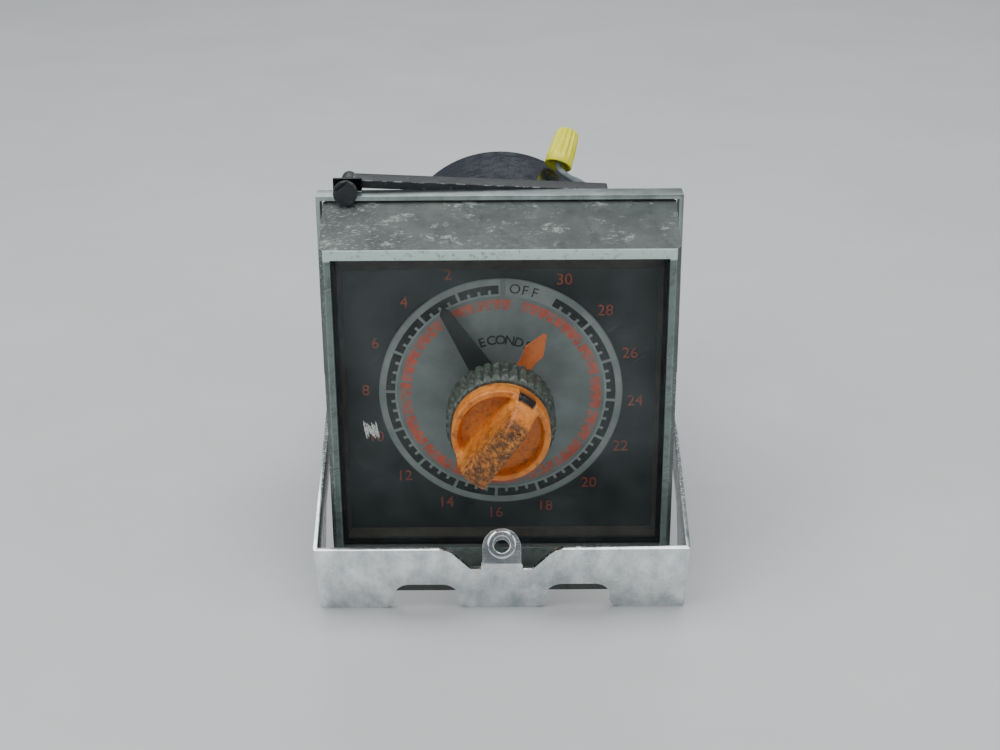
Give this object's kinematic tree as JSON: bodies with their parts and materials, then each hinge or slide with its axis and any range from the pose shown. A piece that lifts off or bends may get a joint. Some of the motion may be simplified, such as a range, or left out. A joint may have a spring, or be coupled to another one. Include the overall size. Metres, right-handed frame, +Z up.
{
  "type": "interval timer",
  "caption": "Panel interval timer: square visored bezel with round seconds dial, knob, two hands, sheet bail, sheet case and round rear can.",
  "frame": {"origin": "middle of the assembly's box, on the surface it stands on (the free lead and its wire nut left out)", "axes": "+Z up; -Y is the front with the dial; +Y runs back to the rear can; +X to the right seen from the front"},
  "size_m": [0.108, 0.1748, 0.1197],
  "materials": {
    "bezel_paint": "grey stoved enamel, worn to metal on the lip",
    "window_acrylic": "clear acrylic sheet with fine scuffs",
    "black_rubber": "matt black",
    "dial_black": "matt black enamel with printed numbers",
    "dial_grey": "grey enamel with printed scale blocks",
    "hand_black": "matt black",
    "hand_orange": "orange enamel",
    "knob_orange": "orange phenolic, dirty in its recesses",
    "ring_dark": "dark green-grey moulding",
    "bright_steel": "turned steel",
    "bright_brass": "machined brass",
    "pinion_steel": "hardened steel",
    "mechanism_plate": "stamped sheet",
    "clutch_lining": "moulded fibre",
    "coil_winding": "enamelled copper wire",
    "motor_paint": "dark grey enamel",
    "switch_black": "black phenolic",
    "switch_button": "red moulded button",
    "tin_plate": "tinned contact metal",
    "case_paint": "black enamel on folded sheet",
    "can_paint": "blue-black gloss enamel",
    "nut_plate": "zinc plate",
    "yoke_plate": "dull bright plate on steel",
    "bail_plate": "bright plate with rub marks",
    "clamp_black": "black oxide",
    "lead_grey": "grey PVC insulation",
    "nut_yellow": "yellow thermoplastic"
  },
  "bodies": {
    "frame": {"bezel": "bezel_paint", "window": "window_acrylic", "window_gasket": "black_rubber", "lead_grommet": "black_rubber", "dial_plate": "dial_black", "dial_face": "dial_grey", "lever_pin": "bright_steel", "cover_studs": "bright_steel", "pillar_screws": "bright_steel", "case_screws": "bright_steel", "window_bushing": "bright_brass", "sleeve_bearing": "bright_brass", "terminal_tags": "bright_brass", "solenoid_core": "pinion_steel", "solenoid_frame": "pinion_steel", "reset_spring": "pinion_steel", "front_plate": "mechanism_plate", "rear_plate": "mechanism_plate", "plate_pillars": "mechanism_plate", "dial_posts": "mechanism_plate", "solenoid_coil": "coil_winding", "motor_coil": "coil_winding", "motor_can": "motor_paint", "load_switch": "switch_black", "delay_switch": "switch_black", "terminal_block": "switch_black", "switch_terminals": "tin_plate", "terminal_screws": "tin_plate", "case_shell": "case_paint", "rear_can": "can_paint", "cover_nuts": "nut_plate", "yoke_screws": "nut_plate", "yoke_spacers": "nut_plate", "bail_pivots": "nut_plate", "frame_yoke": "yoke_plate", "clamp_strap": "clamp_black", "clamp_screw": "clamp_black", "lead_wire": "lead_grey", "wire_nut": "nut_yellow"},
    "bail": {"bail": "bail_plate"},
    "setting": {"setting_knob": "knob_orange", "knob_set_screw": "bright_steel", "setting_shaft": "bright_steel", "setting_hand": "hand_orange", "stop_arm": "mechanism_plate"},
    "progress": {"progress_sleeve": "bright_brass", "progress_hand": "hand_black", "trip_cam": "clutch_lining", "clutch_disc": "clutch_lining", "main_gear": "bright_brass"},
    "clamp_ring": {"lock_ring": "ring_dark"},
    "idler": {"idler_arbor": "bright_steel", "idler_pinion": "pinion_steel", "idler_gear": "bright_brass"},
    "rotor": {"motor_rotor": "pinion_steel", "motor_pinion": "pinion_steel"},
    "armature": {"clutch_lever": "pinion_steel"},
    "load_plunger": {"load_button": "switch_button"},
    "delay_plunger": {"delay_button": "switch_button"}
  },
  "joints": [
    {"name": "bail_swing", "type": "hinge", "parent": "frame", "child": "bail", "pos_m": [0, -0.01365, 0.046], "axis": [-1, 0, 0], "range_deg": [-22, 12]},
    {"name": "setting_turn", "type": "hinge", "parent": "frame", "child": "setting", "pos_m": [0, -0.06065, 0.058], "axis": [0, -1, 0], "range_deg": [-328, 19]},
    {"name": "clamp_ring_turn", "type": "hinge", "parent": "frame", "child": "clamp_ring", "pos_m": [0, -0.06065, 0.058], "axis": [0, -1, 0], "range_deg": [0, 90]},
    {"name": "progress_turn", "type": "hinge", "parent": "frame", "child": "progress", "pos_m": [0, -0.06065, 0.058], "axis": [0, -1, 0], "range_deg": [-31, 304]},
    {"name": "idler_turn", "type": "hinge", "parent": "frame", "child": "idler", "pos_m": [-0.02217, -0.06065, 0.0452], "axis": [0, -1, 0], "range_deg": [-920, 100]},
    {"name": "rotor_turn", "type": "hinge", "parent": "frame", "child": "rotor", "pos_m": [0, -0.06065, 0.058], "axis": [0, -1, 0], "range_deg": [-290, 2750]},
    {"name": "armature_pull", "type": "hinge", "parent": "frame", "child": "armature", "pos_m": [0, -0.02135, 0.0916], "axis": [-1, 0, 0], "range_deg": [0, 3], "stiffness_Nm_per_rad": 0.02, "springref_deg": -11.46},
    {"name": "load_press", "type": "slide", "parent": "frame", "child": "load_plunger", "axis": [0, 0, -1], "range_m": [0, 0.001], "stiffness_N_per_m": 300, "springref_m": -0.001},
    {"name": "delay_press", "type": "slide", "parent": "frame", "child": "delay_plunger", "axis": [1, 0, 0], "range_m": [0, 0.001], "stiffness_N_per_m": 300, "springref_m": -0.001}
  ],
  "couplings": [
    {"joint": "idler_turn", "follows": "progress_turn", "ratio": -3},
    {"joint": "rotor_turn", "follows": "progress_turn", "ratio": 9}
  ]
}
